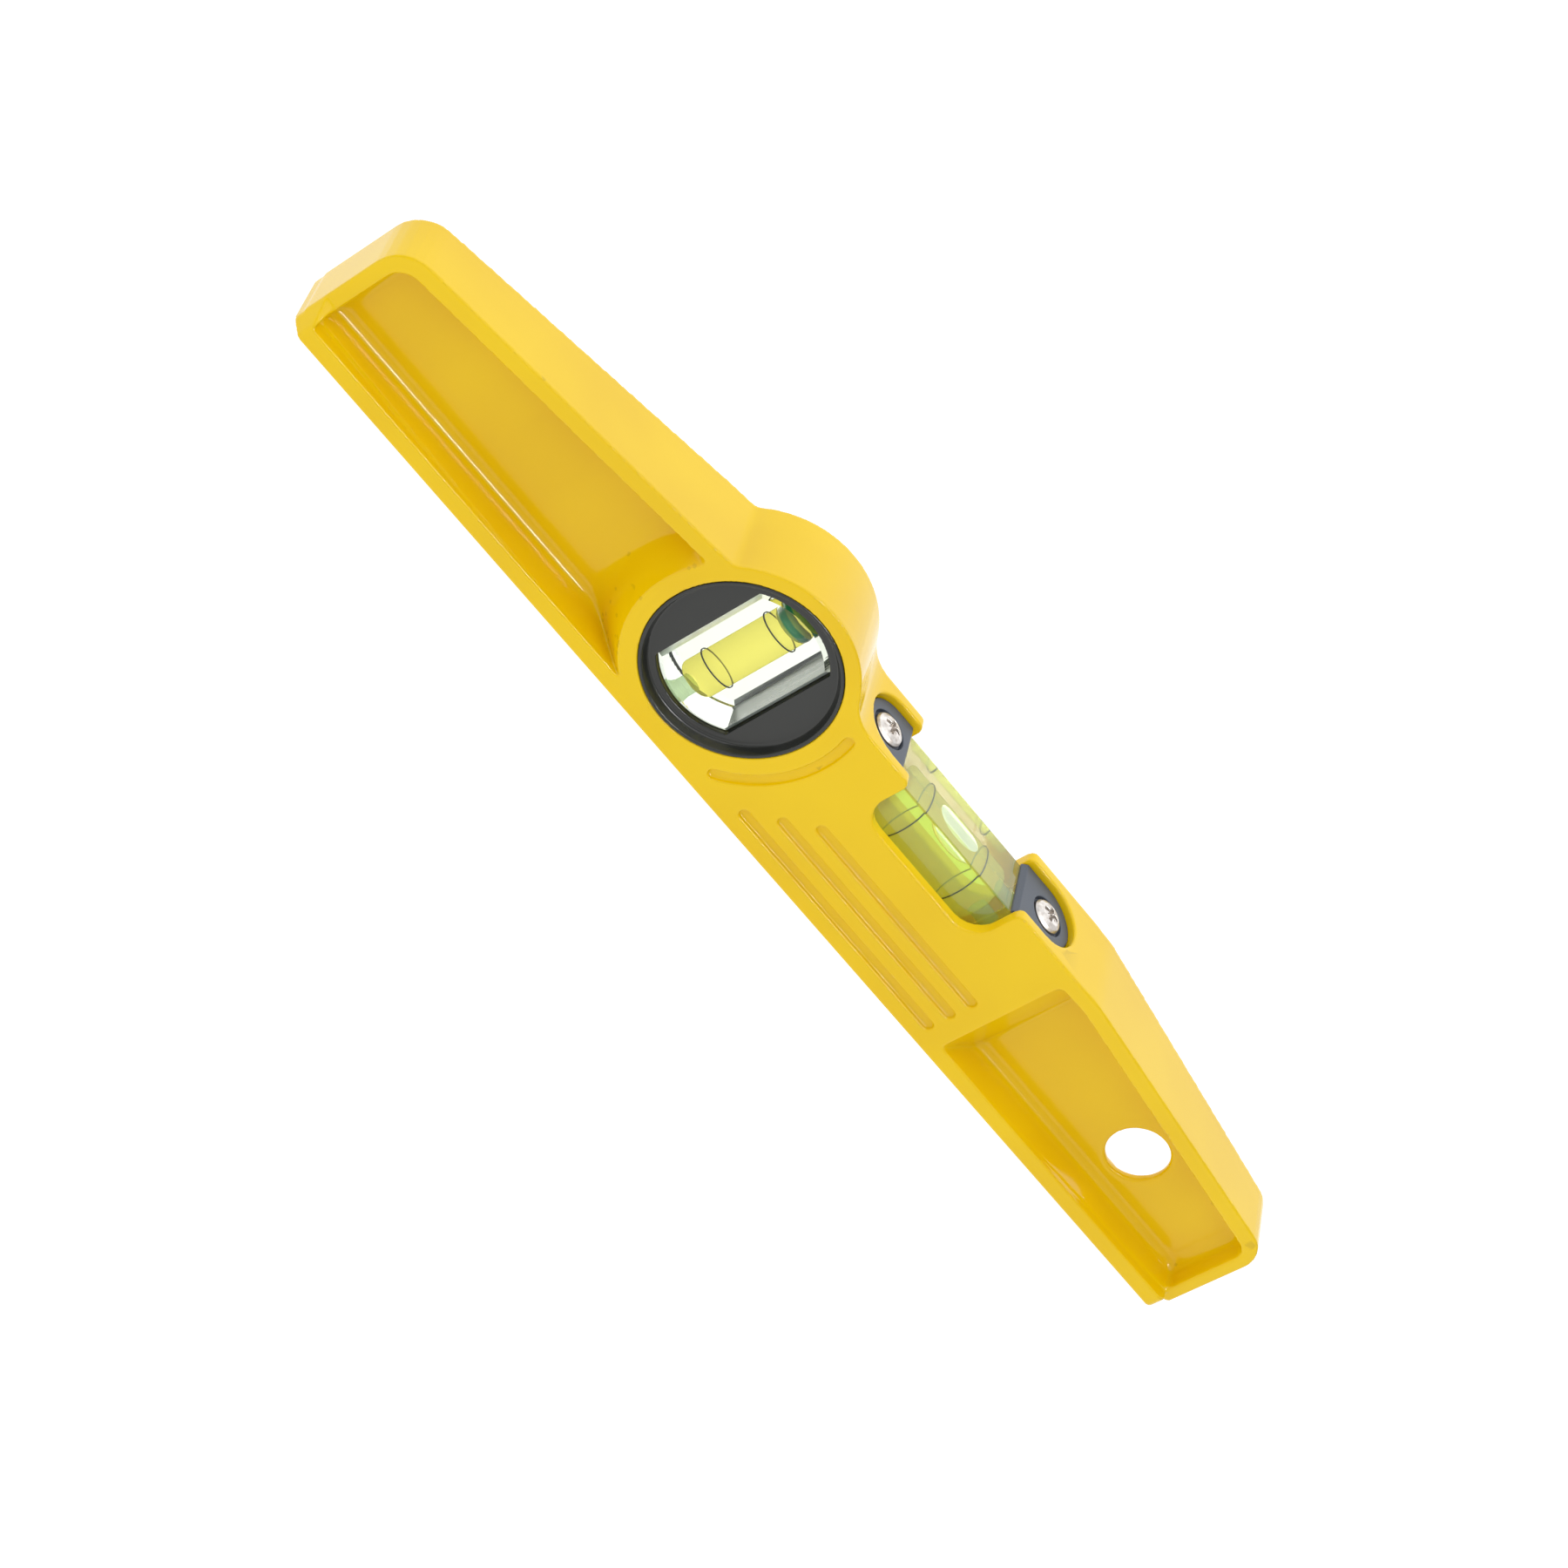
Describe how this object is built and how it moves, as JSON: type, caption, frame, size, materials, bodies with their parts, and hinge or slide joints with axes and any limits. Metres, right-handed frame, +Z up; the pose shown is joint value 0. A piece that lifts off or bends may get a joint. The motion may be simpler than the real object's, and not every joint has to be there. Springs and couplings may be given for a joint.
{
  "type": "spirit level",
  "caption": "Pocket spirit level with a cast body, a level vial let into the top under two screwed caps, and a round plumb vial insert.",
  "frame": {"origin": "centre of the measuring base, on its underside", "axes": "+X along the level from the plumb vial's end towards the hanging hole's end, +Y through the thickness from the front face to the rear, +Z up from the base"},
  "size_m": [0.25, 0.02, 0.0436],
  "materials": {
    "painted_casting": "glossy yellow enamel on an aluminium casting",
    "black_plastic": "satin moulded black",
    "acrylic": "polished clear acrylic",
    "plumb_liquid": "clear yellow vial liquid",
    "level_liquid": "clear yellow-green vial liquid",
    "bubble": "air",
    "green_plug": "moulded green",
    "black_ink": "matt black line",
    "grey_plastic": "fine-grained slate grey",
    "zinc_steel": "bright zinc plate"
  },
  "bodies": {
    "level": {"body_casting": "painted_casting", "plumb_bezel_front": "black_plastic", "plumb_bezel_rear": "black_plastic", "plumb_vial_block": "acrylic", "plumb_vial_fluid": "plumb_liquid", "plumb_vial_plug": "green_plug", "plumb_ring_lower": "black_ink", "plumb_ring_upper": "black_ink", "level_vial_block": "acrylic", "level_vial_fluid": "level_liquid", "level_vial_plug": "green_plug", "level_ring_left": "black_ink", "level_ring_right": "black_ink", "left_end_cap": "grey_plastic", "right_end_cap": "grey_plastic", "left_cap_screw": "zinc_steel", "right_cap_screw": "zinc_steel"},
    "level_bubble_body": {"level_bubble": "bubble"},
    "plumb_bubble_body": {"plumb_bubble": "bubble"}
  },
  "joints": [
    {"name": "level_bubble_slide", "type": "slide", "parent": "level", "child": "level_bubble_body", "axis": [1, 0, 0], "range_m": [-0.0075, 0.0075], "stiffness_N_per_m": 5},
    {"name": "plumb_bubble_slide", "type": "slide", "parent": "level", "child": "plumb_bubble_body", "axis": [0, 0, 1], "range_m": [-0.019, 0], "stiffness_N_per_m": 5}
  ]
}
